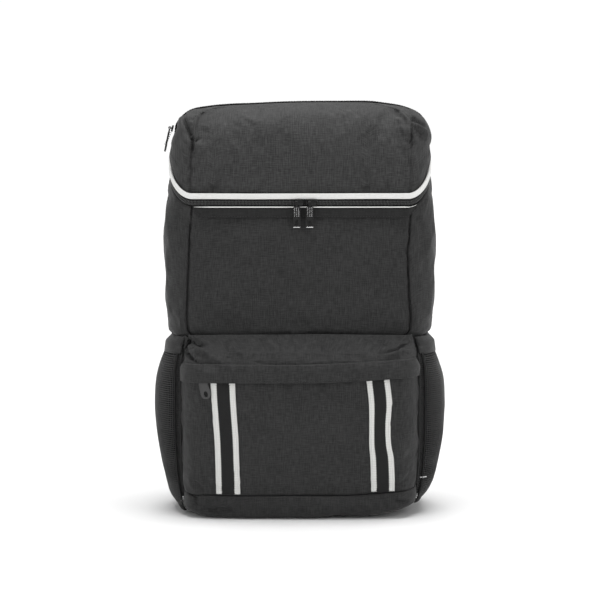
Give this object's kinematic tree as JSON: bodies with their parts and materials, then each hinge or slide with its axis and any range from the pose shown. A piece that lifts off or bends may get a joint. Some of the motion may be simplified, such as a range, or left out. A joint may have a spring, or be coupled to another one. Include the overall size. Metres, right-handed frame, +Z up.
{
  "type": "cooler backpack",
  "caption": "Upright insulated backpack with a zipped domed lid, front pocket with ribbons, mesh side pockets and shoulder straps.",
  "frame": {"origin": "middle of the base, on the surface it stands on", "axes": "+Z up, -Y out of the front with the pocket, +Y towards the wearer's back, +X to the right seen from the front"},
  "size_m": [0.3152, 0.2155, 0.442],
  "materials": {
    "ripstop_cloth": "charcoal ripstop weave",
    "zip_tape": "black woven tape",
    "white_piping": "white bound piping",
    "striped_ribbon": "dark ribbon with white edges",
    "side_mesh": "knitted net",
    "spacer_mesh": "padded net",
    "black_metal": "black enamelled zinc",
    "black_webbing": "ribbed webbing",
    "black_plastic": "moulded, fine texture"
  },
  "bodies": {
    "bag": {"front_panel": "ripstop_cloth", "back_wall": "ripstop_cloth", "side_lower_left": "ripstop_cloth", "side_lower_right": "ripstop_cloth", "side_upper_left": "ripstop_cloth", "side_upper_right": "ripstop_cloth", "base_panel": "ripstop_cloth", "lid_shell": "ripstop_cloth", "lid_hinge": "ripstop_cloth", "lid_piping": "white_piping", "lid_zip": "zip_tape", "zip_facing": "zip_tape", "zip_thin_piping": "white_piping", "lid_pocket_zip": "zip_tape", "lid_slider_left": "black_metal", "lid_slider_right": "black_metal", "lid_pocket_slider": "black_metal", "front_pocket": "ripstop_cloth", "pocket_flap": "ripstop_cloth", "pocket_zip": "zip_tape", "pocket_slider": "black_metal", "pocket_pull": "black_metal", "ribbon_left": "striped_ribbon", "ribbon_right": "striped_ribbon", "mesh_pocket_left": "side_mesh", "mesh_pocket_right": "side_mesh", "mesh_hem_left": "ripstop_cloth", "mesh_hem_right": "ripstop_cloth", "back_pad": "spacer_mesh", "strap_yoke": "ripstop_cloth", "strap_left": "ripstop_cloth", "strap_right": "ripstop_cloth", "strap_loop_left": "black_webbing", "strap_loop_right": "black_webbing", "strap_web_left": "black_webbing", "strap_web_right": "black_webbing", "adjuster_left": "black_plastic", "adjuster_right": "black_plastic", "grab_handle": "black_webbing"},
    "lid_tab_left": {"lid_pull_left": "black_metal"},
    "lid_tab_right": {"lid_pull_right": "black_metal"},
    "lid_pocket_tab": {"lid_pocket_pull": "black_metal"}
  },
  "joints": [
    {"name": "lid_pull_left_swing", "type": "hinge", "parent": "bag", "child": "lid_tab_left", "pos_m": [-0.0011, -0.05803, 0.3328], "axis": [-1, 0, 0], "range_deg": [0, 160]},
    {"name": "lid_pull_right_swing", "type": "hinge", "parent": "bag", "child": "lid_tab_right", "pos_m": [0.0127, -0.05799, 0.3328], "axis": [-1, 0, 0], "range_deg": [0, 160]},
    {"name": "lid_pocket_pull_swing", "type": "hinge", "parent": "bag", "child": "lid_pocket_tab", "pos_m": [-0.14197, 0.018, 0.41272], "axis": [0, 1, 0], "range_deg": [0, 150]}
  ]
}
